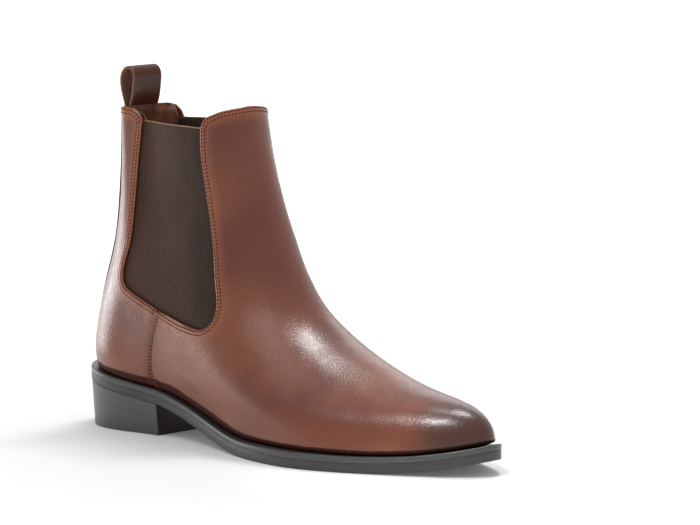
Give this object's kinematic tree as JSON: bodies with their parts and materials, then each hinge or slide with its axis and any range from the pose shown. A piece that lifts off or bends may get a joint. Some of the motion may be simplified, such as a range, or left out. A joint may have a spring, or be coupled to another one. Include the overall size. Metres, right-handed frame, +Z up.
{
  "type": "chelsea boot",
  "caption": "Ankle boot with smooth leather vamp and quarters, elastic side gores, rear pull tab, slim welted sole and low stacked heel.",
  "frame": {"origin": "on the floor under the middle of the boot's bounding box", "axes": "+X from heel to toe, +Y towards the inner side of the right foot, +Z up"},
  "size_m": [0.268, 0.094, 0.186],
  "materials": {
    "leather": "smooth burnished box calf, satin",
    "leather_dark": "smooth dark edge-dyed leather, satin",
    "lining": "brushed suede side, matte",
    "elastic": "ribbed woven elastic, matte",
    "stiffener": "resin-filled non-woven, matte",
    "board": "fibreboard, matte",
    "sock": "plain leather, matte",
    "filler": "granulated cork, matte",
    "steel": "plain steel",
    "sole_black": "satin black",
    "heel_black": "satin black lacquer over a stacked heel",
    "top_piece": "matte black"
  },
  "bodies": {
    "boot": {"front_upper": "leather", "rear_upper_lateral": "leather", "rear_upper_medial": "leather", "gore_lateral": "elastic", "gore_medial": "elastic", "back_strip": "leather_dark", "pull_tab_anchor": "leather_dark", "front_lining": "lining", "rear_lining": "lining", "toe_puff": "stiffener", "heel_counter": "stiffener", "insole_board": "board", "sock_liner": "sock", "bottom_filler": "filler", "shank": "steel", "welt": "sole_black", "outsole": "sole_black", "heel_block": "heel_black", "heel_top_piece": "top_piece", "heel_nail_1": "steel", "heel_nail_2": "steel", "heel_nail_3": "steel", "heel_nail_4": "steel", "heel_nail_5": "steel"},
    "pull_tab": {"pull_tab": "leather_dark"}
  },
  "joints": [
    {"name": "pull_tab_hinge", "type": "hinge", "parent": "boot", "child": "pull_tab", "pos_m": [-0.1113, 0, 0.1659], "axis": [0, 1, 0], "range_deg": [-25, 30], "stiffness_Nm_per_rad": 0.02}
  ]
}
